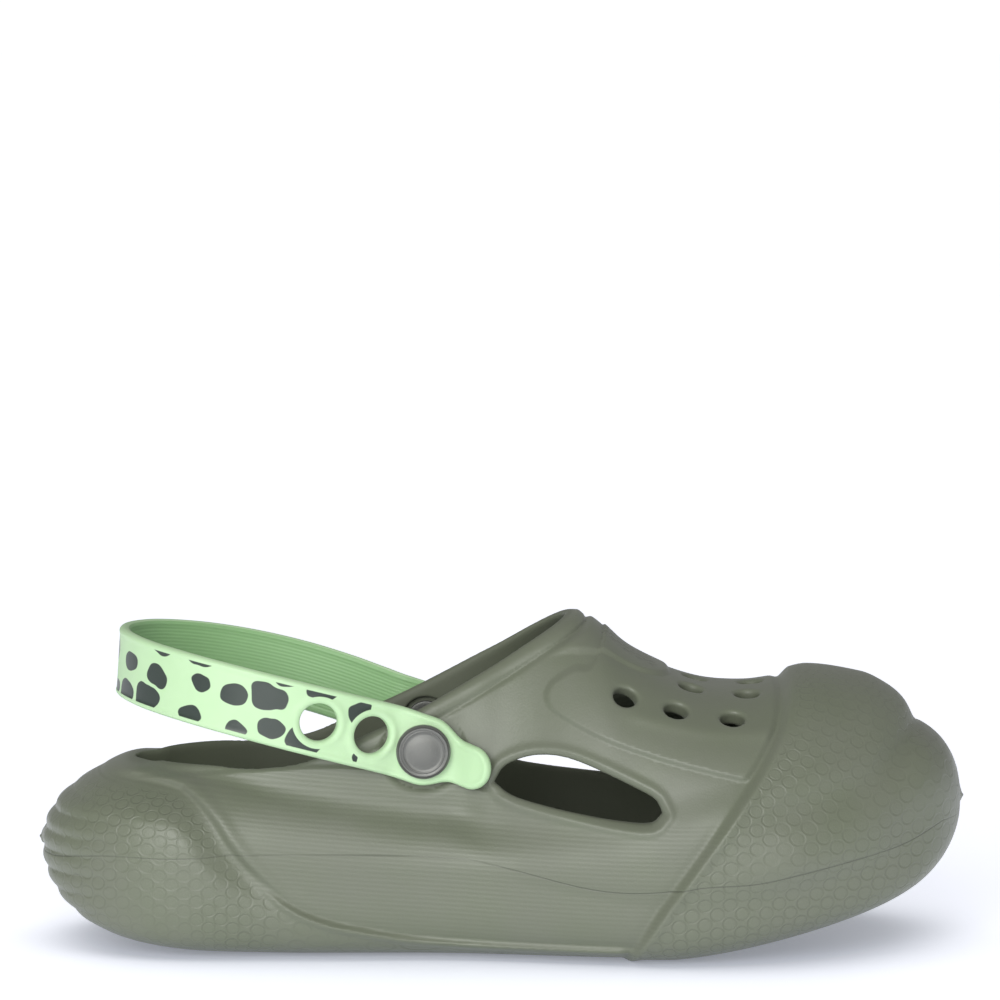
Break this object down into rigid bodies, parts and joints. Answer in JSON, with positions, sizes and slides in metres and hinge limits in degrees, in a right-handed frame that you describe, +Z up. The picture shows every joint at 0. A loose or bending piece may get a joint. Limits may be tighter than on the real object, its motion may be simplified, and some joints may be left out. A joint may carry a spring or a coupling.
{
  "type": "garden clog",
  "caption": "Child's right-foot slip-on garden clog of moulded foam with a loose insole and a spotted rubber heel strap that swings on two snap rivets",
  "frame": {"origin": "on the ground under the middle of the clog's bounding box", "axes": "+X to the toe, +Y to the inner side of the foot, +Z up"},
  "size_m": [0.24, 0.0968, 0.0871],
  "materials": {
    "foam": "satin olive foam",
    "insole": "matt charcoal foam",
    "strap": "satin light green rubber with dark spots",
    "rivet": "satin grey plastic"
  },
  "bodies": {
    "shell": {"clog_body": "foam", "insole": "insole"},
    "strap": {"heel_strap": "strap"},
    "rivet_outer": {"rivet_stud_outer": "rivet", "rivet_socket_outer": "rivet"},
    "rivet_inner": {"rivet_stud_inner": "rivet", "rivet_socket_inner": "rivet"}
  },
  "joints": [
    {"name": "strap_swing", "type": "hinge", "parent": "shell", "child": "strap", "pos_m": [-0.02, 0, 0.054], "axis": [0, 1, 0], "range_deg": [-10, 130]},
    {"name": "rivet_outer_spin", "type": "hinge", "parent": "shell", "child": "rivet_outer", "pos_m": [-0.02, -0.0277, 0.054], "axis": [0, 1, 0], "continuous": true},
    {"name": "rivet_inner_spin", "type": "hinge", "parent": "shell", "child": "rivet_inner", "pos_m": [-0.02, 0.0269, 0.054], "axis": [0, 1, 0], "continuous": true}
  ]
}
